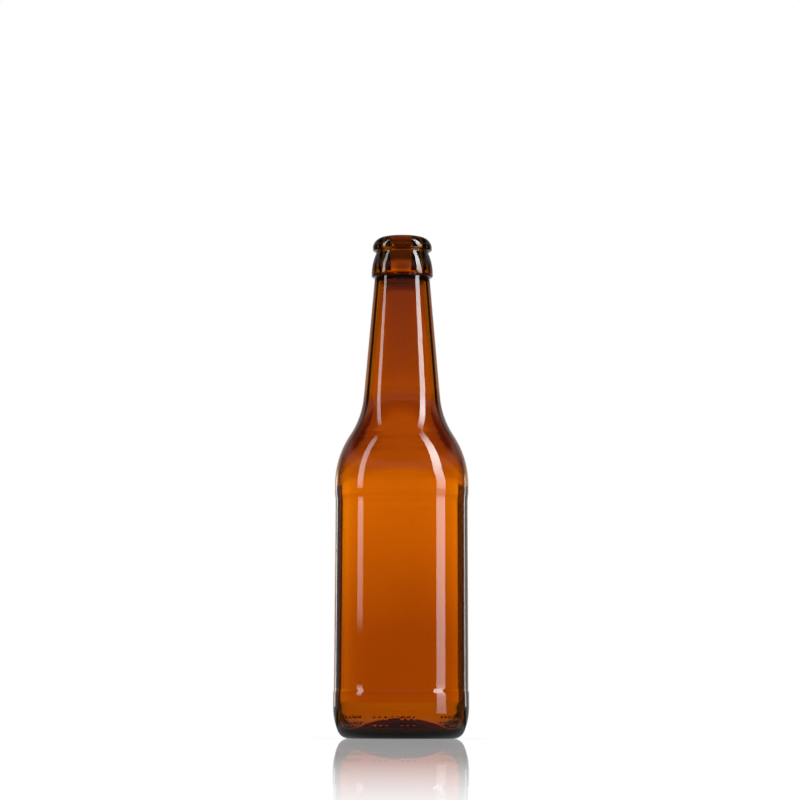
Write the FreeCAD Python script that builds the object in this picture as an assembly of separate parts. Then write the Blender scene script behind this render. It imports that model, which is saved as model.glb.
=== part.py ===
"""Long-neck beer bottle for 33 cl, blown in one piece of amber glass.

The bottle is one hollow solid of revolution about Z, open at the mouth and empty, with low round dots
raised on its heel. Units are millimetres. The origin is the middle of the foot, on the plane that the
bearing ring stands on, and +Z points up to the mouth.
"""
import FreeCAD
import Part

import math
import os

from FreeCAD import Vector

# Overall sizes
HEIGHT = 225.4                 # bearing ring to the top of the lip
BODY_RADIUS = 30.45            # the heel band, the widest part

# Body, from the foot up: each zone's height, and how far its surface lies inside the heel band's
HEEL_HEIGHT = 14.3             # foot up to the heel band
HEEL_BAND_HEIGHT = 5.2         # the lower of the two bands that bottles touch at
LOWER_STEP_HEIGHT = 2.8
PANEL_HEIGHT = 83.7
UPPER_STEP_HEIGHT = 3.8
UPPER_BAND_HEIGHT = 3.6
PANEL_FOOT_SETBACK = 0.34      # the label panel narrows a little towards its top
PANEL_TOP_SETBACK = 0.68
UPPER_BAND_SETBACK = 0.35

# Foot and heel
PUSH_UP = 4.5                  # hollow under the base, at its middle
BEARING_RING_WIDTH = 2.1       # flat ring that the bottle stands on
BEARING_INNER_ROUNDING = 2.5
HEEL_CORNER_RADIUS = 5.3
HEEL_SWEEP_RADIUS = 28.0

# Shoulder and neck
SHOULDER_RADIUS = 40.0         # the shoulder's outward curve
WAIST_RADIUS = 37.0            # the inward curve from shoulder to neck
NECK_TOP_RADIUS = 12.45        # where the neck meets the finish
NECK_TAPER = 0.0891            # radius lost for each millimetre of height

# Finish: the mouth's moulded ring, from the skirt's undercut up to the lip
FINISH_HEIGHT = 18.5
SKIRT_OVERHANG = 1.45          # beyond the top of the neck
SKIRT_BEND_HEIGHT = 6.6        # from the undercut up to where the skirt leans in
SKIRT_BEND_RADIUS = 25.0
SKIRT_EDGE_ROUNDING = 1.2
UNDERCUT_FILLET = 0.25
LIP_RADIUS = 13.4
LIP_DEPTH = 6.1                # from the top of the lip down to its lower corner
LIP_OVERHANG = 1.7             # beyond the bottom of the groove, for the closure to crimp under
GROOVE_DEPTH = 6.8             # from the top of the lip down to the bottom of the groove
GROOVE_FILLET = 0.8
LIP_EDGE_ROUNDING = 1.1
LIP_CROWN_ROUNDING = 4.8
MOUTH_ROUNDING = 0.6

# Inside of the bottle
BORE_RADIUS = 8.0
BORE_DEPTH = 18.0              # from the top of the lip down to where the bore starts to widen
BORE_FLARE_HEIGHT = 2.4        # the widening, down to the neck's full width
BORE_FLARE_ROUNDING = 1.0
NECK_WALL = 2.4
BODY_WALL = 2.05               # from the heel up to the shoulder
BASE_WALL = 4.8                # at the middle of the base
FLOOR_DOME_RADIUS = 48.0
INNER_HEEL_RADIUS = 3.0

# Raised dots on the heel, in groups of two rows. A group is the angle of its middle, counted from
# the front, which is -Y, and the number of dots in each of its rows.
DOT_RADIUS = 0.7
DOT_RISE = 0.28
DOT_ROW_HEIGHTS = (6.2, 9.0)
DOT_SPACING = 2.7              # along the heel
DOT_GROUPS = ((-46.0, 4), (-18.0, 3), (6.0, 3), (56.0, 4), (134.0, 3), (180.0, 4), (226.0, 3))
FRONT_ANGLE = -90.0            # from +X

# Levels that follow from the sizes
PANEL_FOOT = HEEL_HEIGHT + HEEL_BAND_HEIGHT + LOWER_STEP_HEIGHT
PANEL_TOP = PANEL_FOOT + PANEL_HEIGHT
SHOULDER_BOTTOM = PANEL_TOP + UPPER_STEP_HEIGHT + UPPER_BAND_HEIGHT
UNDERCUT = HEIGHT - FINISH_HEIGHT
FLOOR = PUSH_UP + BASE_WALL


def at(x, z):
    """A point of the XZ plane."""
    return Vector(x, 0, z)


class Outline:
    """A chain of straight lines and arcs in the XZ plane, with x as the radius."""

    def __init__(self, start):
        self.point = start
        self.edges = []

    def line_to(self, end):
        """Add a straight line, unless the chain is already at its end."""
        if self.point.distanceToPoint(end) > 1e-6:
            self.edges.append(Part.LineSegment(self.point, end).toShape())
        self.point = end

    def arc_to(self, centre, end):
        """Add the shorter arc about centre to the point end."""
        bisector = (self.point - centre) + (end - centre)
        bisector.normalize()
        crest = centre + bisector * self.point.distanceToPoint(centre)
        self.edges.append(Part.Arc(self.point, crest, end).toShape())
        self.point = end

    def touching_arcs(self, first_centre, first_radius, second_centre, end):
        """Add two arcs that touch: one of first_radius, and one about second_centre to end."""
        towards = second_centre - first_centre
        towards.normalize()
        touch = first_centre + towards * first_radius
        self.arc_to(first_centre, touch)
        self.arc_to(second_centre, end)

    def step_to(self, end):
        """Move to another radius by two equal arcs that leave and arrive upright."""
        drift = end.x - self.point.x
        climb = end.z - self.point.z
        reach = (drift ** 2 + climb ** 2) / (4 * drift)
        first_centre = self.point + at(reach, 0)
        self.touching_arcs(first_centre, abs(reach), end - at(reach, 0), end)

    def round_through(self, corners, end):
        """Run through rounded corners to end; a corner is its point and its radius.

        Two roundings that don't fit on the leg between them are made smaller, in proportion.
        """
        points = [self.point] + [point for point, radius in corners] + [end]
        backs = [(points[i - 1] - points[i]).normalize() for i in range(1, len(points) - 1)]
        aheads = [(points[i + 1] - points[i]).normalize() for i in range(1, len(points) - 1)]
        halves = [back.getAngle(ahead) / 2 for back, ahead in zip(backs, aheads)]
        reaches = [radius / math.tan(half) for (point, radius), half in zip(corners, halves)]
        padded = [0.0] + reaches + [0.0]
        shares = [min(1.0, points[i].distanceToPoint(points[i + 1]) / max(padded[i] + padded[i + 1], 1e-9))
                  for i in range(len(points) - 1)]
        for i, (point, radius) in enumerate(corners):
            reach = reaches[i] * min(shares[i], shares[i + 1])
            bisector = (backs[i] + aheads[i]).normalize()
            self.line_to(point + backs[i] * reach)
            self.arc_to(point + bisector * (reach / math.cos(halves[i])), point + aheads[i] * reach)
        self.line_to(end)


def neck_radius(height):
    """Outer radius of the neck's cone at a height."""
    return NECK_TOP_RADIUS + NECK_TAPER * (UNDERCUT - height)


def draw_shoulder(outline, body_wall, neck_wall):
    """Add the shoulder's and the waist's arcs, which touch each other and the neck's cone.

    The walls are how far this outline lies inside the bottle's outer one.
    """
    shoulder_radius = SHOULDER_RADIUS - body_wall
    waist_radius = WAIST_RADIUS + neck_wall
    lean = math.atan(NECK_TAPER)
    outward = at(math.cos(lean), math.sin(lean))
    downward = at(math.sin(lean), -math.cos(lean))
    shoulder = at(BODY_RADIUS - UPPER_BAND_SETBACK - SHOULDER_RADIUS, SHOULDER_BOTTOM)
    rail = at(neck_radius(HEIGHT), HEIGHT) + outward * WAIST_RADIUS
    offset = rail - shoulder
    along = offset.dot(downward)
    reach = shoulder_radius + waist_radius
    waist = rail - downward * (along + math.sqrt(along ** 2 - offset.dot(offset) + reach ** 2))
    outline.touching_arcs(shoulder, shoulder_radius, waist, waist - outward * waist_radius)


def draw_side(outline, body_wall, neck_wall):
    """Heel band, label panel, upper band, shoulder and waist, from the heel up to the neck.

    The walls are how far this outline lies inside the bottle's outer one: nothing for the
    outside, and the glass's thickness for the inside.
    """
    heel_band = BODY_RADIUS - body_wall
    upper_band = heel_band - UPPER_BAND_SETBACK
    outline.line_to(at(heel_band, HEEL_HEIGHT + HEEL_BAND_HEIGHT))
    outline.step_to(at(heel_band - PANEL_FOOT_SETBACK, PANEL_FOOT))
    outline.line_to(at(heel_band - PANEL_TOP_SETBACK, PANEL_TOP))
    outline.step_to(at(upper_band, PANEL_TOP + UPPER_STEP_HEIGHT))
    outline.line_to(at(upper_band, SHOULDER_BOTTOM))
    draw_shoulder(outline, body_wall, neck_wall)


def heel_sweep_centre():
    """Centre of the large arc that runs up the heel into its band."""
    return at(BODY_RADIUS - HEEL_SWEEP_RADIUS, HEEL_HEIGHT)


def draw_foot(outline):
    """Push-up, bearing ring and heel, from the axis out to the heel band."""
    sweep = heel_sweep_centre()
    reach = HEEL_SWEEP_RADIUS - HEEL_CORNER_RADIUS
    across = math.sqrt(reach ** 2 - (HEEL_HEIGHT - HEEL_CORNER_RADIUS) ** 2)
    corner = at(sweep.x + across, HEEL_CORNER_RADIUS)
    ring_inner = corner.x - BEARING_RING_WIDTH
    rounding = at(ring_inner, BEARING_INNER_ROUNDING)
    dome_radius = (ring_inner ** 2 + PUSH_UP ** 2) / (2 * PUSH_UP) - BEARING_INNER_ROUNDING
    outline.touching_arcs(at(0, PUSH_UP - dome_radius), dome_radius, rounding, at(ring_inner, 0))
    outline.line_to(at(corner.x, 0))
    outline.arc_to(corner, sweep + (corner - sweep) * (HEEL_SWEEP_RADIUS / reach))
    outline.arc_to(sweep, at(BODY_RADIUS, HEEL_HEIGHT))


def beside(first, first_reach, second, second_reach):
    """The point at two distances from two others, on the outer side of the line up from the first."""
    between = second - first
    gap = between.Length
    up = between * (1 / gap)
    along = (first_reach ** 2 - second_reach ** 2 + gap ** 2) / (2 * gap)
    out = math.sqrt(first_reach ** 2 - along ** 2)
    return first + up * along + at(up.z, -up.x) * out


def draw_floor(outline):
    """Domed floor, the rounding from it, and the inside of the heel's sweep up to the inner wall."""
    sweep = heel_sweep_centre()
    sweep_radius = HEEL_SWEEP_RADIUS - BODY_WALL
    reach = sweep_radius - INNER_HEEL_RADIUS
    dome = at(0, FLOOR - FLOOR_DOME_RADIUS)
    heel = beside(dome, FLOOR_DOME_RADIUS + INNER_HEEL_RADIUS, sweep, reach)
    outline.touching_arcs(dome, FLOOR_DOME_RADIUS, heel, sweep + (heel - sweep) * (sweep_radius / reach))
    outline.arc_to(sweep, at(sweep.x + sweep_radius, sweep.z))


def draw_finish(outline):
    """Skirt, groove, lip and mouth, from the neck's top over into the bore."""
    skirt_radius = NECK_TOP_RADIUS + SKIRT_OVERHANG
    corners = [
        (at(NECK_TOP_RADIUS, UNDERCUT), UNDERCUT_FILLET),
        (at(skirt_radius, UNDERCUT), SKIRT_EDGE_ROUNDING),
        (at(skirt_radius, UNDERCUT + SKIRT_BEND_HEIGHT), SKIRT_BEND_RADIUS),
        (at(LIP_RADIUS - LIP_OVERHANG, HEIGHT - GROOVE_DEPTH), GROOVE_FILLET),
        (at(LIP_RADIUS, HEIGHT - LIP_DEPTH), LIP_EDGE_ROUNDING),
        (at(LIP_RADIUS, HEIGHT), LIP_CROWN_ROUNDING),
        (at(BORE_RADIUS, HEIGHT), MOUTH_ROUNDING),
    ]
    outline.round_through(corners, at(BORE_RADIUS, HEIGHT - FINISH_HEIGHT / 2))


def draw_bore(outline, end):
    """Widening from the inner neck up to the bore, and the bore up to end."""
    flare_top = HEIGHT - BORE_DEPTH
    flare_bottom = flare_top - BORE_FLARE_HEIGHT
    neck_inner = neck_radius(flare_bottom) - NECK_WALL * math.hypot(1, NECK_TAPER)
    corners = [
        (at(neck_inner, flare_bottom), BORE_FLARE_ROUNDING),
        (at(BORE_RADIUS, flare_top), BORE_FLARE_ROUNDING),
    ]
    outline.round_through(corners, end)


def blown_body():
    """The glass itself: its outer and inner outlines, closed on the axis and turned about Z."""
    outside = Outline(at(0, PUSH_UP))
    draw_foot(outside)
    draw_side(outside, 0, 0)
    draw_finish(outside)
    inside = Outline(at(0, FLOOR))
    draw_floor(inside)
    draw_side(inside, BODY_WALL, NECK_WALL)
    draw_bore(inside, outside.point)
    axis = Part.LineSegment(at(0, FLOOR), at(0, PUSH_UP)).toShape()
    face = Part.Face(Part.Wire(outside.edges + inside.edges[::-1] + [axis]))
    return face.revolve(Vector(0, 0, 0), Vector(0, 0, 1), 360)


def heel_dots():
    """Low round dots on the heel's sweep: balls that the glass holds all but a cap of."""
    ball_radius = (DOT_RADIUS ** 2 + DOT_RISE ** 2) / (2 * DOT_RISE)
    sweep = heel_sweep_centre()
    reach = HEEL_SWEEP_RADIUS + DOT_RISE - ball_radius
    balls = []
    for middle, count in DOT_GROUPS:
        for height in DOT_ROW_HEIGHTS:
            drop = sweep.z - height
            across = sweep.x + reach * math.sqrt(1 - (drop / HEEL_SWEEP_RADIUS) ** 2)
            level = sweep.z - reach * drop / HEEL_SWEEP_RADIUS
            for index in range(count):
                offset = (index - (count - 1) / 2) * DOT_SPACING
                angle = math.radians(FRONT_ANGLE + middle) + offset / across
                place = Vector(across * math.cos(angle), across * math.sin(angle), level)
                balls.append(Part.makeSphere(ball_radius, place))
    return balls


def bottle():
    """The bottle as one solid."""
    return blown_body().fuse(heel_dots())


os.makedirs("parts", exist_ok=True)
bottle().exportStep("parts/bottle.step")
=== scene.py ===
"""Empty long-neck beer bottle of amber glass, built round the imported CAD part's frame.

The glass is one closed shell: the outside, the lip and the inside are drawn as outlines in the XZ
plane and spun about Z, in the same sizes as the CAD solid that the shell stands for. Sizes of the
bottle are in millimetres and its mesh is scaled to metres once it is finished.

The studio is a pale floor, a camera and a world, which lights everything. The camera and the
floor's polish see the world as white. Reflections in the glass show two tall softboxes and part of
a wall in its place, and what is seen through the glass is a shaped lamp between dark flags. For
both the floor is darkened.
"""
import logging
import math
from dataclasses import dataclass, field
from typing import Optional, Sequence

import bmesh
import bpy
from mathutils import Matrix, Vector

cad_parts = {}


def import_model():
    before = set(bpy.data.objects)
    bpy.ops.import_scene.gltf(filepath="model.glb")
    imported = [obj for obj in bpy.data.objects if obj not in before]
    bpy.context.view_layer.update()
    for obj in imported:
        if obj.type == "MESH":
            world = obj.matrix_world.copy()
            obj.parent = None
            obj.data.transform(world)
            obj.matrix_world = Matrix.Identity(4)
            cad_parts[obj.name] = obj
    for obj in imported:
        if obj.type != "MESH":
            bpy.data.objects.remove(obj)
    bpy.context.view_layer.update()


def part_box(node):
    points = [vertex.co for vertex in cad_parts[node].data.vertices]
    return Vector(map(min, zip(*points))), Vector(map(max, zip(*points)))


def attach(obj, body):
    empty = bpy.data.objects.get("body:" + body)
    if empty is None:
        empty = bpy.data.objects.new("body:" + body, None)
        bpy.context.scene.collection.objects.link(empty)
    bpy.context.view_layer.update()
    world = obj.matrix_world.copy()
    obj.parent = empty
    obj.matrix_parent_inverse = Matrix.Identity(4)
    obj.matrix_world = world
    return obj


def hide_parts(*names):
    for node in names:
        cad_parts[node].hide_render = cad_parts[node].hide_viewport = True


LOG = logging.getLogger("bottle")

NODE = "bottle"
BODY = "root"
METRES = 0.001                 # one millimetre
TURN_STEPS = 192               # segments round the bottle
LARGEST_BEND = math.radians(7.0)   # between two rows of an arc
SHORTEST_LINE = 1e-4           # points nearer than this, in millimetres, are one

Levels = tuple[tuple[float, float], ...]   # pairs of a distance, or an angle, and the level there


def at(x: float, z: float) -> Vector:
    """A point of the XZ plane."""
    return Vector((x, 0.0, z))


def beside(first: Vector, first_reach: float, second: Vector, second_reach: float) -> Vector:
    """The point at two distances from two others, on the outer side of the line up from the first.

    Args:
        first: The lower point.
        first_reach: Distance from it.
        second: The upper point.
        second_reach: Distance from that.

    Returns:
        The point.
    """
    between = second - first
    up = between.normalized()
    along = (first_reach ** 2 - second_reach ** 2 + between.length_squared) / (2 * between.length)
    out = math.sqrt(first_reach ** 2 - along ** 2)
    return first + up * along + at(up.z, -up.x) * out


class Outline:
    """A chain of edges in the XZ plane, drawn from its tip onward, with x as the radius."""

    def __init__(self, mesh: bmesh.types.BMesh, start: Vector, row_height: float) -> None:
        """Put the first point down.

        Args:
            mesh: The mesh that the chain is drawn in.
            start: The first point.
            row_height: The longest edge that the chain may have.
        """
        self.mesh = mesh
        self.row_height = row_height
        self.tip = bmesh.ops.create_vert(mesh, co=start)["vert"][0]

    @property
    def point(self) -> Vector:
        """Where the chain has got to."""
        return self.tip.co.copy()

    def line_to(self, end: Vector) -> None:
        """Add a straight line, in rows.

        Args:
            end: The line's far end.
        """
        start = self.point
        length = (end - start).length
        if length < SHORTEST_LINE:
            return
        rows = math.ceil(length / self.row_height)
        for row in range(1, rows + 1):
            self.tip = bmesh.ops.extrude_vert_indiv(self.mesh, verts=[self.tip])["verts"][0]
            self.tip.co = start.lerp(end, row / rows)

    def arc_to(self, centre: Vector, end: Vector) -> None:
        """Add the shorter arc about a centre.

        Args:
            centre: The arc's centre.
            end: The arc's far end.
        """
        arm = self.point - centre
        turn = math.atan2(arm.cross(end - centre).y, arm.dot(end - centre))
        length = abs(turn) * arm.length
        rows = max(2, math.ceil(abs(turn) / LARGEST_BEND), math.ceil(length / self.row_height))
        spun = bmesh.ops.spin(self.mesh, geom=[self.tip], cent=centre, axis=(0.0, 1.0, 0.0),
                              dvec=(0.0, 0.0, 0.0), angle=turn, steps=rows, use_merge=False,
                              use_normal_flip=False, use_duplicate=False)
        self.tip = next(part for part in spun["geom_last"] if isinstance(part, bmesh.types.BMVert))

    def touching_arcs(self, first_centre: Vector, first_radius: float, second_centre: Vector,
                      end: Vector) -> None:
        """Add two arcs that touch.

        Args:
            first_centre: Centre of the first arc.
            first_radius: Its radius, negative where it bends the same way as the second.
            second_centre: Centre of the second arc.
            end: Where the second arc ends.
        """
        towards = (second_centre - first_centre).normalized()
        self.arc_to(first_centre, first_centre + towards * first_radius)
        self.arc_to(second_centre, end)

    def step_to(self, end: Vector) -> None:
        """Move to another radius by two equal arcs that leave and arrive upright.

        Args:
            end: Where the second arc ends.
        """
        drift = end.x - self.point.x
        climb = end.z - self.point.z
        reach = (drift ** 2 + climb ** 2) / (4 * drift)
        self.touching_arcs(self.point + at(reach, 0), abs(reach), end - at(reach, 0), end)

    def round_through(self, corners: Sequence[tuple[Vector, float]], end: Vector) -> None:
        """Run through rounded corners; roundings that don't fit on a leg share it in proportion.

        Args:
            corners: Each corner's point and radius.
            end: The end of the last leg.
        """
        points = [self.point] + [point for point, _ in corners] + [end]
        backs = [(points[i - 1] - points[i]).normalized() for i in range(1, len(points) - 1)]
        aheads = [(points[i + 1] - points[i]).normalized() for i in range(1, len(points) - 1)]
        halves = [back.angle(ahead) / 2 for back, ahead in zip(backs, aheads)]
        reaches = [radius / math.tan(half) for (_, radius), half in zip(corners, halves)]
        padded = [0.0] + reaches + [0.0]
        shares = [min(1.0, (points[i + 1] - points[i]).length / max(padded[i] + padded[i + 1], 1e-9))
                  for i in range(len(points) - 1)]
        for i, (point, _) in enumerate(corners):
            reach = reaches[i] * min(shares[i], shares[i + 1])
            bisector = (backs[i] + aheads[i]).normalized()
            self.line_to(point + backs[i] * reach)
            self.arc_to(point + bisector * (reach / math.cos(halves[i])), point + aheads[i] * reach)
        self.line_to(end)


@dataclass(frozen=True)
class Walls:
    """How far an outline lies inside the bottle's outer one, which is the glass's thickness."""

    body: float = 0.0
    neck: float = 0.0


@dataclass(frozen=True)
class Side:
    """Heel band, label panel, upper band, shoulder and neck: all that the inside follows too."""

    height: float
    radius: float
    heel_height: float = 14.3
    heel_band_height: float = 5.2
    lower_step_height: float = 2.8
    panel_height: float = 83.7
    upper_step_height: float = 3.8
    upper_band_height: float = 3.6
    panel_foot_setback: float = 0.34   # the label panel narrows a little towards its top
    panel_top_setback: float = 0.68
    upper_band_setback: float = 0.35
    shoulder_radius: float = 40.0
    waist_radius: float = 37.0
    neck_top_radius: float = 12.45
    neck_taper: float = 0.0891
    finish_height: float = 18.5

    @property
    def undercut(self) -> float:
        """Level at which the neck meets the finish."""
        return self.height - self.finish_height

    def neck_radius(self, level: float) -> float:
        """Outer radius of the neck's cone at a level."""
        return self.neck_top_radius + self.neck_taper * (self.undercut - level)

    def draw(self, outline: Outline, walls: Walls) -> None:
        """Draw from the heel band up to the end of the waist, where the neck's cone begins.

        Args:
            outline: The chain, at the heel's top.
            walls: How far inside the outer surface the chain runs.
        """
        panel_foot = self.heel_height + self.heel_band_height + self.lower_step_height
        panel_top = panel_foot + self.panel_height
        shoulder_bottom = panel_top + self.upper_step_height + self.upper_band_height
        heel_band = self.radius - walls.body
        upper_band = heel_band - self.upper_band_setback
        outline.line_to(at(heel_band, self.heel_height + self.heel_band_height))
        outline.step_to(at(heel_band - self.panel_foot_setback, panel_foot))
        outline.line_to(at(heel_band - self.panel_top_setback, panel_top))
        outline.step_to(at(upper_band, panel_top + self.upper_step_height))
        outline.line_to(at(upper_band, shoulder_bottom))
        self._draw_shoulder(outline, walls, shoulder_bottom)

    def _draw_shoulder(self, outline: Outline, walls: Walls, bottom: float) -> None:
        """Draw the shoulder's and the waist's arcs, which touch each other and the neck's cone.

        Args:
            outline: The chain, at the shoulder's bottom.
            walls: How far inside the outer surface the chain runs.
            bottom: Level of the shoulder's bottom.
        """
        lean = math.atan(self.neck_taper)
        outward = at(math.cos(lean), math.sin(lean))
        downward = at(math.sin(lean), -math.cos(lean))
        shoulder = at(self.radius - self.upper_band_setback - self.shoulder_radius, bottom)
        rail = at(self.neck_radius(self.height), self.height) + outward * self.waist_radius
        offset = rail - shoulder
        along = offset.dot(downward)
        waist_radius = self.waist_radius + walls.neck
        shoulder_radius = self.shoulder_radius - walls.body
        reach = shoulder_radius + waist_radius
        waist = rail - downward * (along + math.sqrt(along ** 2 - offset.dot(offset) + reach ** 2))
        outline.touching_arcs(shoulder, shoulder_radius, waist, waist - outward * waist_radius)


@dataclass(frozen=True)
class Foot:
    """Push-up under the base, the ring that the bottle stands on, and the heel."""

    side: Side
    push_up: float = 4.5
    ring_width: float = 2.1
    ring_inner_rounding: float = 2.5
    corner_radius: float = 5.3
    sweep_radius: float = 28.0

    @property
    def sweep_centre(self) -> Vector:
        """Centre of the large arc that runs up the heel into its band."""
        return at(self.side.radius - self.sweep_radius, self.side.heel_height)

    @property
    def corner_centre(self) -> Vector:
        """Centre of the small arc from the ring up into the heel's sweep."""
        reach = self.sweep_radius - self.corner_radius
        across = math.sqrt(reach ** 2 - (self.side.heel_height - self.corner_radius) ** 2)
        return at(self.sweep_centre.x + across, self.corner_radius)

    def sweep_at(self, level: float) -> float:
        """Radius of the heel's surface at a level on its sweep."""
        centre = self.sweep_centre
        return centre.x + math.sqrt(self.sweep_radius ** 2 - (level - centre.z) ** 2)

    def draw(self, outline: Outline) -> None:
        """Draw from the middle of the push-up out to the heel band.

        Args:
            outline: The chain, on the axis at the push-up's height.
        """
        sweep = self.sweep_centre
        corner = self.corner_centre
        ring_inner = corner.x - self.ring_width
        rounding = at(ring_inner, self.ring_inner_rounding)
        dome_radius = (ring_inner ** 2 + self.push_up ** 2) / (2 * self.push_up) - self.ring_inner_rounding
        outline.touching_arcs(at(0, self.push_up - dome_radius), dome_radius, rounding, at(ring_inner, 0))
        outline.line_to(at(corner.x, 0))
        outline.arc_to(corner, sweep + (corner - sweep).normalized() * self.sweep_radius)
        outline.arc_to(sweep, at(self.side.radius, self.side.heel_height))


@dataclass(frozen=True)
class Mouth:
    """The moulded ring at the top that a crown cork crimps onto: skirt, groove and lip."""

    side: Side
    skirt_overhang: float = 1.45
    skirt_bend_height: float = 6.6
    skirt_bend_radius: float = 25.0
    skirt_edge_rounding: float = 1.2
    undercut_fillet: float = 0.25
    lip_radius: float = 13.4
    lip_depth: float = 6.1
    lip_overhang: float = 1.7
    groove_depth: float = 6.8
    groove_fillet: float = 0.8
    lip_edge_rounding: float = 1.1
    lip_crown_rounding: float = 4.8
    mouth_rounding: float = 0.6
    bore_radius: float = 8.0

    def draw(self, outline: Outline) -> None:
        """Draw from the top of the neck over the lip and halfway down the bore.

        Args:
            outline: The chain, at the end of the waist.
        """
        side = self.side
        skirt_radius = side.neck_top_radius + self.skirt_overhang
        corners = [
            (at(side.neck_top_radius, side.undercut), self.undercut_fillet),
            (at(skirt_radius, side.undercut), self.skirt_edge_rounding),
            (at(skirt_radius, side.undercut + self.skirt_bend_height), self.skirt_bend_radius),
            (at(self.lip_radius - self.lip_overhang, side.height - self.groove_depth), self.groove_fillet),
            (at(self.lip_radius, side.height - self.lip_depth), self.lip_edge_rounding),
            (at(self.lip_radius, side.height), self.lip_crown_rounding),
            (at(self.bore_radius, side.height), self.mouth_rounding),
        ]
        outline.round_through(corners, at(self.bore_radius, side.height - side.finish_height / 2))


@dataclass(frozen=True)
class Hollow:
    """The inside: a domed floor, the walls, and the bore that narrows under the mouth."""

    side: Side
    foot: Foot
    mouth: Mouth
    walls: Walls = Walls(body=2.05, neck=2.4)
    base_wall: float = 4.8
    floor_dome_radius: float = 48.0
    heel_radius: float = 3.0
    bore_depth: float = 18.0
    bore_flare_height: float = 2.4
    bore_flare_rounding: float = 1.0

    @property
    def floor(self) -> float:
        """Level of the inside floor at its middle."""
        return self.foot.push_up + self.base_wall

    def draw(self, outline: Outline, end: Vector) -> None:
        """Draw from the middle of the floor up to the bore.

        Args:
            outline: The chain, on the axis at the floor.
            end: Where the outer chain stopped in the bore.
        """
        sweep = self.foot.sweep_centre
        sweep_radius = self.foot.sweep_radius - self.walls.body
        dome = at(0, self.floor - self.floor_dome_radius)
        heel = beside(dome, self.floor_dome_radius + self.heel_radius, sweep, sweep_radius - self.heel_radius)
        top = sweep + (heel - sweep).normalized() * sweep_radius
        outline.touching_arcs(dome, self.floor_dome_radius, heel, top)
        outline.arc_to(sweep, at(sweep.x + sweep_radius, sweep.z))
        self.side.draw(outline, self.walls)
        flare_top = self.side.height - self.bore_depth
        flare_bottom = flare_top - self.bore_flare_height
        neck_wall_across = self.walls.neck * math.hypot(1, self.side.neck_taper)
        neck_inner = self.side.neck_radius(flare_bottom) - neck_wall_across
        corners = [
            (at(neck_inner, flare_bottom), self.bore_flare_rounding),
            (at(self.mouth.bore_radius, flare_top), self.bore_flare_rounding),
        ]
        outline.round_through(corners, end)


@dataclass(frozen=True)
class DotGroup:
    """Some of the raised dots: the angle of their middle from the front, and how many a row has."""

    middle: float
    count: int


@dataclass(frozen=True)
class HeelDots:
    """Low round dots in two rows round the heel, raised from the glass itself."""

    foot: Foot
    radius: float = 0.7
    rise: float = 0.28
    levels: tuple[float, ...] = (6.2, 9.0)
    spacing: float = 2.7
    groups: tuple[DotGroup, ...] = (
        DotGroup(-46.0, 4), DotGroup(-18.0, 3), DotGroup(6.0, 3), DotGroup(56.0, 4),
        DotGroup(134.0, 3), DotGroup(180.0, 4), DotGroup(226.0, 3),
    )
    front: float = -90.0       # the front's angle from +X
    margin: float = 0.6        # the heel is cut finer this far round a dot,
    catch: float = 0.7         # counting faces whose middles lie this much further out
    skin: float = 0.5          # what lies this near the heel's surface belongs to it
    cuts: int = 4

    def centres(self) -> list[Vector]:
        """Middle of every dot on the heel's surface.

        Returns:
            The middles.
        """
        found = []
        for group in self.groups:
            for level in self.levels:
                across = self.foot.sweep_at(level)
                for index in range(group.count):
                    offset = (index - (group.count - 1) / 2) * self.spacing
                    angle = math.radians(self.front + group.middle) + offset / across
                    found.append(Vector((across * math.cos(angle), across * math.sin(angle), level)))
        return found

    def raise_on(self, mesh: bmesh.types.BMesh) -> None:
        """Cut the heel finer under the dots and lift its surface there.

        Args:
            mesh: The spun shell, in millimetres.
        """
        centres = self.centres()
        reach = self.radius + self.margin + self.catch
        near = [face for face in mesh.faces
                if self._on_heel(face.calc_center_median())
                and any((face.calc_center_median() - centre).length < reach for centre in centres)]
        edges = list({edge for face in near for edge in face.edges})
        bmesh.ops.subdivide_edges(mesh, edges=edges, cuts=self.cuts, use_grid_fill=True)
        for vert in mesh.verts:
            if self._on_heel(vert.co):
                flat = Vector((vert.co.x, vert.co.y, 0.0)).normalized()
                vert.co = flat * self.foot.sweep_at(vert.co.z) + Vector((0.0, 0.0, vert.co.z))
                closest = min((vert.co - centre).length for centre in centres)
                if closest < self.radius:
                    centre = self.foot.sweep_centre
                    outward = (vert.co - flat * centre.x - Vector((0.0, 0.0, centre.z))).normalized()
                    vert.co += outward * self.rise * self._dome(closest / self.radius)

    def _on_heel(self, point: Vector) -> bool:
        """Whether a point of the shell lies on the outer heel, in the dots' rows.

        Args:
            point: The point.

        Returns:
            True if it does.
        """
        low = min(self.levels) - self.radius - self.margin
        high = max(self.levels) + self.radius + self.margin
        if not low < point.z < high:
            return False
        return abs(math.hypot(point.x, point.y) - self.foot.sweep_at(point.z)) < self.skin

    @staticmethod
    def _dome(share: float) -> float:
        """Height of a dot, from 1 at its middle to 0 at its rim, with a soft foot."""
        return (1 - share ** 2) ** 1.5


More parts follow.
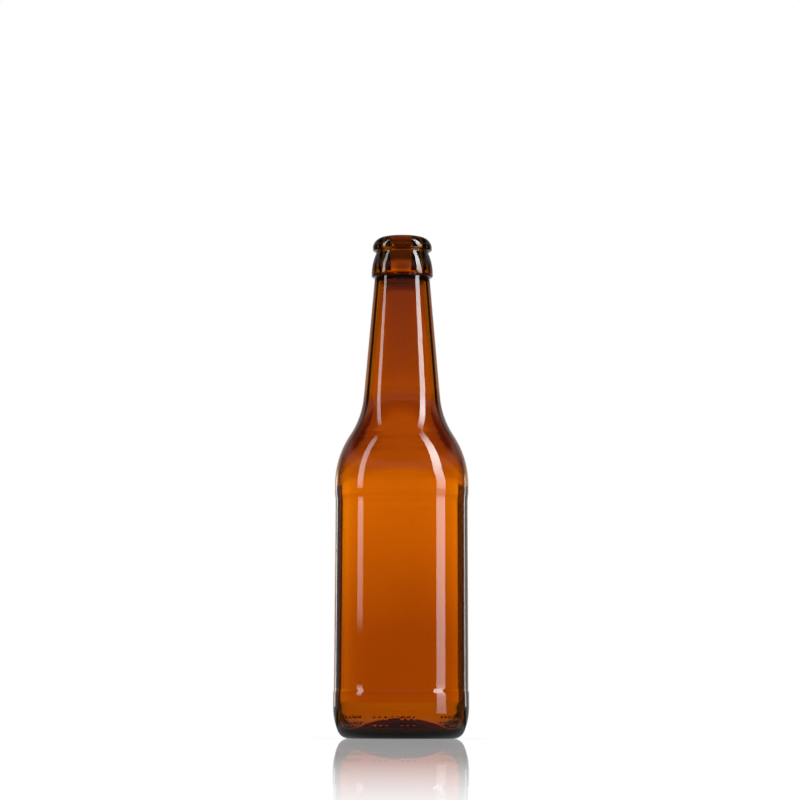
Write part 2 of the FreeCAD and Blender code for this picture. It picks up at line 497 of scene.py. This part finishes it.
class Wiring:
    """A node tree and short ways to add and join its nodes."""

    def __init__(self, tree: bpy.types.NodeTree) -> None:
        """Start on a tree, which is emptied."""
        self.tree = tree
        tree.nodes.clear()

    def add(self, kind: str, inputs: Optional[dict] = None, **settings: object) -> bpy.types.Node:
        """Add a node.

        Args:
            kind: The node's type.
            inputs: Input values or sockets to join, by the input's name or number.
            settings: The node's own properties.

        Returns:
            The new node.
        """
        node = self.tree.nodes.new(kind)
        for name, value in settings.items():
            setattr(node, name, value)
        for key, value in (inputs or {}).items():
            if isinstance(value, bpy.types.NodeSocket):
                self.tree.links.new(value, node.inputs[key])
            else:
                node.inputs[key].default_value = value
        return node

    def math(self, operation: str, *values: object) -> bpy.types.NodeSocket:
        """The result of a Math node, from numbers or sockets in the order of its inputs."""
        return self.add("ShaderNodeMath", dict(enumerate(values)), operation=operation).outputs[0]

    def ease(self, value: bpy.types.NodeSocket, start: object, end: object) -> bpy.types.NodeSocket:
        """A smooth rise from 0 to 1 as a value goes from start to end."""
        node = self.add("ShaderNodeMapRange", {"Value": value, "From Min": start, "From Max": end},
                        interpolation_type="SMOOTHSTEP")
        return node.outputs["Result"]

    def bearing(self, across: object, ahead: object) -> bpy.types.NodeSocket:
        """Degrees that a direction lies to the right of straight ahead, negative to the left."""
        return self.math("DEGREES", self.math("ARCTAN2", across, ahead))

    def emission(self, strength: object) -> bpy.types.NodeSocket:
        """A shader that gives white light of a strength."""
        return self.add("ShaderNodeEmission", {"Strength": strength}).outputs[0]

    def either(self, share: object, first: object, second: object) -> bpy.types.NodeSocket:
        """The first shader, or the second where share is 1."""
        return self.add("ShaderNodeMixShader", {0: share, 1: first, 2: second}).outputs[0]

    def choice(self, share: object, first: object, second: object) -> bpy.types.NodeSocket:
        """The first number, or the second where share is 1."""
        return self.add("ShaderNodeMix", {0: share, 2: first, 3: second}).outputs[0]

    def curve(self, value: bpy.types.NodeSocket, points: Levels) -> bpy.types.NodeSocket:
        """A value's level, read off straight lines between points.

        Args:
            value: What is looked up.
            points: Pairs of value and level, with rising values.

        Returns:
            The level's socket.
        """
        first, last = points[0][0], points[-1][0]
        top = max(level for _, level in points)
        share = self.add("ShaderNodeMapRange", {"Value": value, "From Min": first, "From Max": last})
        ramp = self.add("ShaderNodeValToRGB", {"Fac": share.outputs["Result"]})
        stops = ramp.color_ramp.elements
        for place, level in points:
            if place == first:
                stop = stops[0]
            elif place == last:
                stop = stops[-1]
            else:
                stop = stops.new((place - first) / (last - first))
            stop.color = (level / top, level / top, level / top, 1.0)
        return self.math("MULTIPLY", ramp.outputs["Color"], top)


@dataclass(frozen=True)
class AmberGlass:
    """Clear amber glass, fire-polished.

    Its skin lets only the tint through, each time that light crosses it, and that gives most of its
    colour. The rest is absorption inside. Faint cords, streaks left by the melt, vary the tint and
    bend the surface a little.
    """

    name: str = "amber_glass"
    refraction: float = 1.52
    roughness: float = 0.03
    density: float = 600.0
    colour: tuple[float, float, float, float] = (0.842, 0.783, 0.0, 1.0)
    tint: tuple[float, float, float] = (1.0, 0.47, 0.03)
    streak: float = 0.96       # share of the tint that is left in a streak
    cord_scale: float = 38.0
    cord_strength: float = 0.25
    cord_depth: float = 0.00006

    def make(self) -> bpy.types.Material:
        """Make the material.

        Returns:
            The new material.
        """
        material = bpy.data.materials.new(self.name)
        material.use_nodes = True
        wiring = Wiring(material.node_tree)
        place = wiring.add("ShaderNodeTexCoord").outputs["Object"]
        cords = wiring.add("ShaderNodeTexNoise", {
            "Vector": place, "Scale": self.cord_scale, "Detail": 2.0, "Roughness": 0.4}).outputs["Fac"]
        tone = wiring.add("ShaderNodeMapRange", {"Value": cords, "From Min": 0.35, "From Max": 0.65})
        streak = [level * self.streak for level in self.tint] + [1.0]
        tint = wiring.add("ShaderNodeMix", {0: tone.outputs["Result"], 6: streak, 7: (*self.tint, 1.0)},
                          data_type="RGBA")
        bump = wiring.add("ShaderNodeBump", {
            "Height": cords, "Strength": self.cord_strength, "Distance": self.cord_depth})
        glass = wiring.add("ShaderNodeBsdfPrincipled", {
            "Base Color": tint.outputs[2], "Roughness": self.roughness, "IOR": self.refraction,
            "Transmission Weight": 1.0, "Normal": bump.outputs["Normal"]})
        inside = wiring.add("ShaderNodeVolumeAbsorption", {"Color": self.colour, "Density": self.density})
        wiring.add("ShaderNodeOutputMaterial", {"Surface": glass.outputs[0], "Volume": inside.outputs[0]})
        return material


@dataclass
class Bottle:
    """The bottle as one closed shell of glass."""

    height: float
    radius: float
    outer_row: float = 2.2
    inner_row: float = 3.0
    heel_row: float = 0.75
    glass: AmberGlass = field(default_factory=AmberGlass)

    @classmethod
    def in_box(cls, low: Vector, high: Vector) -> "Bottle":
        """A bottle, not built yet, that fills a box in metres standing on the floor round the Z axis."""
        reach = min(high.x, high.y, -low.x, -low.y)
        return cls(height=high.z / METRES, radius=reach / METRES)

    def build(self) -> bpy.types.Object:
        """Build the shell and dress it.

        Returns:
            The bottle's object.
        """
        side = Side(self.height, self.radius)
        foot = Foot(side)
        mouth = Mouth(side)
        hollow = Hollow(side, foot, mouth)
        mesh = bmesh.new()
        outside = Outline(mesh, at(0, foot.push_up), self.heel_row)
        foot.draw(outside)
        outside.row_height = self.outer_row
        side.draw(outside, Walls())
        mouth.draw(outside)
        inside = Outline(mesh, at(0, hollow.floor), self.inner_row)
        hollow.draw(inside, outside.point)
        bmesh.ops.remove_doubles(mesh, verts=mesh.verts, dist=SHORTEST_LINE)
        bmesh.ops.spin(mesh, geom=mesh.verts[:] + mesh.edges[:], cent=(0.0, 0.0, 0.0), axis=(0.0, 0.0, 1.0),
                       dvec=(0.0, 0.0, 0.0), angle=math.tau, steps=TURN_STEPS, use_merge=True,
                       use_normal_flip=False, use_duplicate=False)
        bmesh.ops.remove_doubles(mesh, verts=mesh.verts, dist=SHORTEST_LINE)
        HeelDots(foot).raise_on(mesh)
        bmesh.ops.recalc_face_normals(mesh, faces=mesh.faces)
        bmesh.ops.scale(mesh, vec=(METRES, METRES, METRES), verts=mesh.verts)
        for face in mesh.faces:
            face.smooth = True
        return self._dress(mesh)

    def _dress(self, mesh: bmesh.types.BMesh) -> bpy.types.Object:
        """Turn the finished shell into an object of amber glass.

        Args:
            mesh: The shell, in metres. It is freed.

        Returns:
            The object, in the scene.
        """
        data = bpy.data.meshes.new("glass_bottle")
        mesh.to_mesh(data)
        mesh.free()
        piece = bpy.data.objects.new("glass_bottle", data)
        bpy.context.scene.collection.objects.link(piece)
        data.materials.append(self.glass.make())
        return piece


@dataclass(frozen=True)
class Softbox:
    """A tall soft lamp as reflections show it, with angles in degrees seen from the bottle."""

    azimuth: float             # of its middle, from the front
    low_azimuth: float         # of its middle near the floor
    half_width: float
    levels: Levels             # brightness by elevation
    edge: float = 0.6

    def shape(self, wiring: Wiring, azimuth: object, middle: object) -> bpy.types.NodeSocket:
        """Where the lamp shows across: 1 inside its width and 0 outside, with a soft edge.

        Args:
            wiring: The node tree that looks it up.
            azimuth: Degrees from the front.
            middle: Azimuth of the lamp's middle at this height.

        Returns:
            The share's socket.
        """
        off = wiring.math("ABSOLUTE", wiring.math("SUBTRACT", azimuth, middle))
        outside = wiring.ease(off, self.half_width - self.edge, self.half_width + self.edge)
        return wiring.math("SUBTRACT", 1.0, outside)


@dataclass(frozen=True)
class Backlight:
    """The wide lamp far behind the bottle, which is seen only through the glass.

    It glows most where the main view shows the shoulder's foot, and towards its sides. Its dim parts
    are warmer. A black flag stands on either side, low down, and past the flags are the room's walls.
    Angles are in degrees seen from the bottle.
    """

    levels: Levels = (
        (0.0, 0.51), (1.8, 0.53), (2.8, 0.74), (4.4, 1.01), (5.1, 0.99), (5.5, 0.66), (6.3, 0.68),
        (7.0, 0.44), (8.6, 0.29), (9.0, 0.10), (12.0, 0.03), (23.0, 0.03), (29.0, 0.12), (35.0, 0.12),
        (40.0, 0.02))
    wings: Levels = ((7.0, 0.0), (9.0, 0.28), (16.0, 0.28), (20.0, 0.0))
    wings_from: float = 9.0    # its sides reach higher from this azimuth on,
    wings_full: float = 14.0   # and in full from this one
    side_gain: float = 0.7     # how much brighter its sides are, this far from its middle:
    gain_reach: float = 9.0
    right_flag: float = 9.5    # azimuths at which the flags begin
    left_flag: float = -14.0
    flag_blur: float = 1.0
    flag_top: float = 4.8
    flag_top_blur: float = 0.5
    edge: float = 28.0         # azimuth at which the lamp ends over the flags
    edge_blur: float = 3.0
    black: float = 0.01
    walls: float = 0.62        # the plain pale walls of the room past the flags,
    walls_from: float = 46.0   # where they begin,
    walls_blur: float = 4.0
    walls_top: float = 14.0    # and the elevation at which they start to fade into the ceiling
    ceiling: float = 0.08
    ceiling_from: float = 30.0
    warmth: float = 1.5        # green and blue go as the level to this power

    def between_flags(self, wiring: Wiring, azimuth: object) -> bpy.types.NodeSocket:
        """Share of light that the flags let past at an azimuth.

        Args:
            wiring: The node tree that looks it up.
            azimuth: Degrees from straight behind the bottle, positive to the right.

        Returns:
            The share's socket: 1 between the flags and 0 at them.
        """
        right = wiring.ease(azimuth, self.right_flag + self.flag_blur, self.right_flag)
        left = wiring.ease(azimuth, self.left_flag - self.flag_blur, self.left_flag)
        return wiring.math("MULTIPLY", right, left)

    def seen(self, wiring: Wiring, azimuth: object, elevation: object) -> bpy.types.NodeSocket:
        """What glass shows behind it.

        Args:
            wiring: The world's node tree.
            azimuth: Degrees from straight behind the bottle, positive to the right.
            elevation: Degrees above the floor.

        Returns:
            The colour's socket.
        """
        off = wiring.math("ABSOLUTE", azimuth)
        share = wiring.math("POWER", wiring.math("DIVIDE", off, self.gain_reach), 2.0)
        gain = wiring.math("MULTIPLY_ADD", wiring.math("MINIMUM", share, 1.0), self.side_gain, 1.0)
        high = wiring.math("MULTIPLY", wiring.curve(elevation, self.wings),
                           wiring.ease(off, self.wings_from, self.wings_full))
        lamp = wiring.math("MULTIPLY_ADD", wiring.curve(elevation, self.levels), gain, high)
        over = wiring.ease(elevation, self.flag_top, self.flag_top + self.flag_top_blur)
        clear = wiring.math("MAXIMUM", self.between_flags(wiring, azimuth), over)
        wide = wiring.ease(off, self.edge + self.edge_blur, self.edge)
        lamp = wiring.math("MULTIPLY", lamp, wiring.math("MULTIPLY", clear, wide))
        room_levels = ((0.0, self.walls), (self.walls_top, self.walls), (self.ceiling_from, self.ceiling))
        past = wiring.ease(off, self.walls_from, self.walls_from + self.walls_blur)
        room = wiring.math("MULTIPLY", past, wiring.curve(elevation, room_levels))
        level = wiring.math("ADD", wiring.math("ADD", lamp, room), self.black)
        cool = wiring.math("POWER", level, self.warmth)
        colour = wiring.add("ShaderNodeCombineColor", {"Red": level, "Green": cool, "Blue": cool})
        return colour.outputs["Color"]


@dataclass(frozen=True)
class Viewpoint:
    """A camera with a long lens just above the floor, tilted up at the bottle's middle."""

    lens: float = 130.65
    sensor: float = 36.0
    place: tuple[float, float, float] = (0.0, -1.3, 0.008)
    turn: tuple[float, float, float] = (96.30, -0.157, 0.0208)   # degrees
    nearest: float = 0.05
    furthest: float = 60.0

    def build(self) -> None:
        """Add the camera and make it the scene's."""
        data = bpy.data.cameras.new("camera")
        data.lens = self.lens
        data.sensor_width = self.sensor
        data.clip_start = self.nearest
        data.clip_end = self.furthest
        camera = bpy.data.objects.new("camera", data)
        camera.location = self.place
        camera.rotation_euler = [math.radians(angle) for angle in self.turn]
        bpy.context.scene.collection.objects.link(camera)
        bpy.context.scene.camera = camera


@dataclass(frozen=True)
class Floor:
    """A pale polished floor whose polish fades towards the front.

    The camera sees it pale. Reflections in the glass show it darker, with light from the wall and
    from the right softbox on it. Through the glass it is darker too, with a painted shadow round the
    bottle, and the flags shade it.
    Distances are in metres from the bottle's axis.
    """

    reach: float = 6.0
    white: float = 0.6
    glow: float = 0.45
    polish: float = 0.76
    refraction: float = 1.5
    fade_from: float = -0.60   # where along Y the polish starts to fade,
    fade_to: float = -1.08     # and where it is gone
    painted_close_levels: Levels = ((0.045, 0.20), (0.06, 0.02))      # painted level of the floor in reflections, by distance: lighter at the foot, painted shade further out
    wall: Levels = ((0.05, 0.0), (0.10, 1.0))          # share of the wall's light that lies on it
    pool: Levels = ((0.084, 0.0), (0.09, 2.4))         # the softbox's pool of light,
    pool_bend: float = 0.97    # which lies aside by this, in degrees, over the distance
    through: Levels = ((0.0, 0.02), (0.05, 0.02), (0.12, 0.3), (0.5, 0.55))   # seen through the glass, by distance: a painted shadow of the bottle out to 5 cm, lighter further out
    steep_loss: float = 0.7    # how much of that goes where the floor is seen steeply and far out:
    steep: tuple[float, float] = (0.06, 0.12)          # between these shares of facing it,
    steep_ring: tuple[float, float] = (0.25, 0.5)      # and between these distances
    sides_full: float = 60.0   # azimuth past which the flags no longer shade it

    def build(self, studio: "Studio") -> None:
        """Add the floor.

        Args:
            studio: The lamps and the wall whose light lies on it.
        """
        mesh = bmesh.new()
        bmesh.ops.create_grid(mesh, x_segments=1, y_segments=1, size=self.reach)
        data = bpy.data.meshes.new("floor")
        mesh.to_mesh(data)
        mesh.free()
        floor = bpy.data.objects.new("floor", data)
        bpy.context.scene.collection.objects.link(floor)
        data.materials.append(self._material(studio))

    def _material(self, studio: "Studio") -> bpy.types.Material:
        """Make the floor's material.

        Args:
            studio: The lamps and the wall whose light lies on it.

        Returns:
            The new material.
        """
        material = bpy.data.materials.new("pale_floor")
        material.use_nodes = True
        wiring = Wiring(material.node_tree)
        path = wiring.add("ShaderNodeLightPath").outputs
        place = wiring.add("ShaderNodeTexCoord").outputs["Object"]
        spot = wiring.add("ShaderNodeSeparateXYZ", {0: place}).outputs
        ring = wiring.add("ShaderNodeVectorMath", {0: place}, operation="LENGTH").outputs["Value"]
        matt = wiring.add("ShaderNodeBsdfDiffuse", {"Color": (self.white, self.white, self.white, 1.0)})
        plain = wiring.either(path["Is Camera Ray"], matt.outputs[0], self._polished(wiring, matt, spot["Y"]))
        glare = wiring.emission(self._glare(wiring, studio, spot, ring))
        lit = wiring.either(path["Is Glossy Ray"], plain, glare)
        through = wiring.emission(self._through(wiring, studio.backlight, spot, ring))
        full = wiring.either(path["Is Transmission Ray"], lit, through)
        wiring.add("ShaderNodeOutputMaterial", {"Surface": full})
        return material

    def _polished(self, wiring: Wiring, matt: bpy.types.Node, ahead: object) -> bpy.types.NodeSocket:
        """What the camera sees: a pale glow under a clear polish.

        Args:
            wiring: The floor's node tree.
            matt: The floor's plain surface.
            ahead: Distance along Y.

        Returns:
            The shader's socket.
        """
        fade = wiring.add("ShaderNodeMapRange", {
            "Value": ahead, "From Min": self.fade_from, "From Max": self.fade_to}).outputs["Result"]
        kept = wiring.math("SUBTRACT", 1.0, wiring.math("POWER", fade, 2.0))
        gloss = wiring.add("ShaderNodeFresnel", {"IOR": self.refraction}).outputs["Fac"]
        gloss = wiring.math("MULTIPLY", wiring.math("MULTIPLY", gloss, self.polish), kept)
        pale = wiring.add("ShaderNodeAddShader", {0: matt.outputs[0], 1: wiring.emission(self.glow)})
        mirror = wiring.add("ShaderNodeBsdfGlossy", {"Color": (1.0, 1.0, 1.0, 1.0), "Roughness": 0.0})
        return wiring.either(gloss, pale.outputs[0], mirror.outputs[0])

    def _glare(self, wiring: Wiring, studio: "Studio", spot: object, ring: object) -> bpy.types.NodeSocket:
        """What reflections in the glass show of the floor.

        Args:
            wiring: The floor's node tree.
            studio: The lamps and the wall.
            spot: Coordinates of the place on the floor.
            ring: Its distance from the axis.

        Returns:
            The level's socket.
        """
        azimuth = wiring.bearing(spot["X"], wiring.math("MULTIPLY", spot["Y"], -1.0))
        lamp = studio.right
        middle = wiring.math("SUBTRACT", lamp.low_azimuth, wiring.math("DIVIDE", self.pool_bend, ring))
        pool = wiring.math("MULTIPLY", lamp.shape(wiring, azimuth, middle), wiring.curve(ring, self.pool))
        behind = wiring.math("MULTIPLY", wiring.curve(wiring.math("ABSOLUTE", azimuth), studio.backdrop),
                             wiring.curve(ring, self.wall))
        # painted level of the floor in reflections: lighter round the foot, painted shade further out
        return wiring.math("ADD", wiring.math("ADD", pool, behind), wiring.curve(ring, self.painted_close_levels))

    def _through(self, wiring: Wiring, backlight: Backlight, spot: object,
                 ring: object) -> bpy.types.NodeSocket:
        """What is seen of the floor through the glass, with a painted shadow round the bottle.

        Args:
            wiring: The floor's node tree.
            backlight: The lamp behind, whose flags shade the floor.
            spot: Coordinates of the place on the floor.
            ring: Its distance from the axis.

        Returns:
            The level's socket.
        """
        facing = wiring.add("ShaderNodeLayerWeight", {"Blend": 0.5}).outputs["Facing"]
        square = wiring.math("SUBTRACT", 1.0, facing)
        steep = wiring.math("MULTIPLY", wiring.ease(square, *self.steep), wiring.ease(ring, *self.steep_ring))
        share = wiring.math("MULTIPLY_ADD", steep, -self.steep_loss, 1.0)
        # the through levels paint the bottle's shadow on the floor near the axis
        level = wiring.math("MULTIPLY", wiring.curve(ring, self.through), share)
        azimuth = wiring.bearing(spot["X"], spot["Y"])
        aside = wiring.ease(wiring.math("ABSOLUTE", azimuth), backlight.walls_from, self.sides_full)
        clear = wiring.math("MAXIMUM", backlight.between_flags(wiring, azimuth), aside)
        return wiring.math("MULTIPLY", level, clear)


@dataclass(frozen=True)
class Studio:
    """Floor, camera and world, with the lamps as reflections and the glass show them."""

    right: Softbox = Softbox(66.5, 71.7, 9.2, (
        (-2, 2.4), (0.5, 3.3), (3.5, 5.0), (10, 8.4), (25, 13.2), (32, 14.6), (40, 13.0), (50, 8.6),
        (56, 4.3), (62, 0.0)))
    left: Softbox = Softbox(-74.5, -75.6, 5.9, (
        (2.1, 0.0), (2.5, 2.2), (5.0, 4.4), (10, 5.5), (30, 4.9), (45, 4.0), (50, 3.0), (55.5, 0.0)))
    bend: tuple[float, float] = (4.0, 16.0)        # elevations between which the softboxes straighten
    slits: tuple[float, ...] = (-151.0, 141.0)     # azimuths of two thin lit gaps, low down behind
    slit_edges: tuple[float, float] = (1.5, 3.0)
    slit_level: float = 2.5
    slit_height: Levels = ((0, 1.0), (6, 1.0), (9, 0.0))
    backdrop: Levels = ((130, 0.0), (138, 0.2), (158, 0.35), (168, 1.0))   # the wall behind, by azimuth
    backdrop_height: Levels = ((0, 1.0), (14, 1.0), (20, 0.7), (28, 0.1))
    veil: Levels = ((0, 0.0), (15, 0.0), (19, 0.14), (25, 0.2), (30, 0.02))   # a faint glow all round
    dark: float = 0.015        # what reflections show where there is no lamp or wall
    backlight: Backlight = Backlight()
    floor: Floor = Floor()
    viewpoint: Viewpoint = Viewpoint()

    def build(self) -> None:
        """Build the whole studio."""
        self.viewpoint.build()
        self.floor.build(self)
        self._world()
        cycles = bpy.context.scene.cycles
        cycles.max_bounces = 24
        cycles.transmission_bounces = 24
        cycles.glossy_bounces = 8
        bpy.context.scene.view_settings.view_transform = "Standard"

    def _world(self) -> None:
        """The world: white to the camera, lamps in the glass's reflections, the backlight through it."""
        world = bpy.data.worlds.new("studio")
        bpy.context.scene.world = world
        world.use_nodes = True
        world.cycles.sampling_method = "NONE"
        wiring = Wiring(world.node_tree)
        path = wiring.add("ShaderNodeLightPath").outputs
        direction = wiring.add("ShaderNodeTexCoord").outputs["Generated"]
        ray = wiring.add("ShaderNodeSeparateXYZ", {0: direction}).outputs
        elevation = wiring.math("DEGREES", wiring.math("ARCSINE", ray["Z"]))
        from_front = wiring.bearing(ray["X"], wiring.math("MULTIPLY", ray["Y"], -1.0))
        glossy = self._reflected(wiring, from_front, elevation)
        through = self.backlight.seen(wiring, wiring.bearing(ray["X"], ray["Y"]), elevation)
        mirrored = wiring.math("MULTIPLY", path["Is Glossy Ray"], path["Is Singular Ray"])
        level = wiring.choice(path["Is Glossy Ray"], 1.0, glossy)
        level = wiring.choice(mirrored, level, 1.0)
        plain = wiring.add("ShaderNodeCombineColor", {"Red": level, "Green": level, "Blue": level})
        shown = wiring.add("ShaderNodeMix", {
            0: path["Is Transmission Ray"], 6: plain.outputs["Color"], 7: through}, data_type="RGBA")
        sky = wiring.add("ShaderNodeBackground", {"Color": shown.outputs[2], "Strength": 1.0})
        wiring.add("ShaderNodeOutputWorld", {"Surface": sky.outputs[0]})

    def _reflected(self, wiring: Wiring, azimuth: object, elevation: object) -> bpy.types.NodeSocket:
        """What reflections show: two softboxes and the lit wall behind.

        Args:
            wiring: The world's node tree.
            azimuth: Degrees from the front, positive to the right.
            elevation: Degrees above the floor.

        Returns:
            The level's socket.
        """
        total = self.dark
        for box in (self.right, self.left):
            low = wiring.math("SUBTRACT", 1.0, wiring.ease(elevation, *self.bend))
            middle = wiring.math("MULTIPLY_ADD", low, box.low_azimuth - box.azimuth, box.azimuth)
            total = wiring.math("MULTIPLY_ADD", box.shape(wiring, azimuth, middle),
                                wiring.curve(elevation, box.levels), total)
        low = wiring.curve(elevation, self.slit_height)
        for middle in self.slits:
            off = wiring.math("ABSOLUTE", wiring.math("SUBTRACT", azimuth, middle))
            shape = wiring.math("SUBTRACT", 1.0, wiring.ease(off, *self.slit_edges))
            total = wiring.math("MULTIPLY_ADD", wiring.math("MULTIPLY", shape, low), self.slit_level, total)
        total = wiring.math("ADD", total, wiring.curve(elevation, self.veil))
        behind = wiring.curve(wiring.math("ABSOLUTE", azimuth), self.backdrop)
        return wiring.math("MULTIPLY_ADD", behind, wiring.curve(elevation, self.backdrop_height), total)


def main() -> None:
    """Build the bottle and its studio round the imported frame."""
    logging.basicConfig(level=logging.INFO, format="%(message)s")
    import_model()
    Studio().build()
    piece = Bottle.in_box(*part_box(NODE)).build()
    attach(piece, BODY)
    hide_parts(NODE)
    triangles = sum(len(face.vertices) - 2 for face in piece.data.polygons)
    LOG.info("%s: %d triangles", piece.name, triangles)


if __name__ == "__main__":
    main()
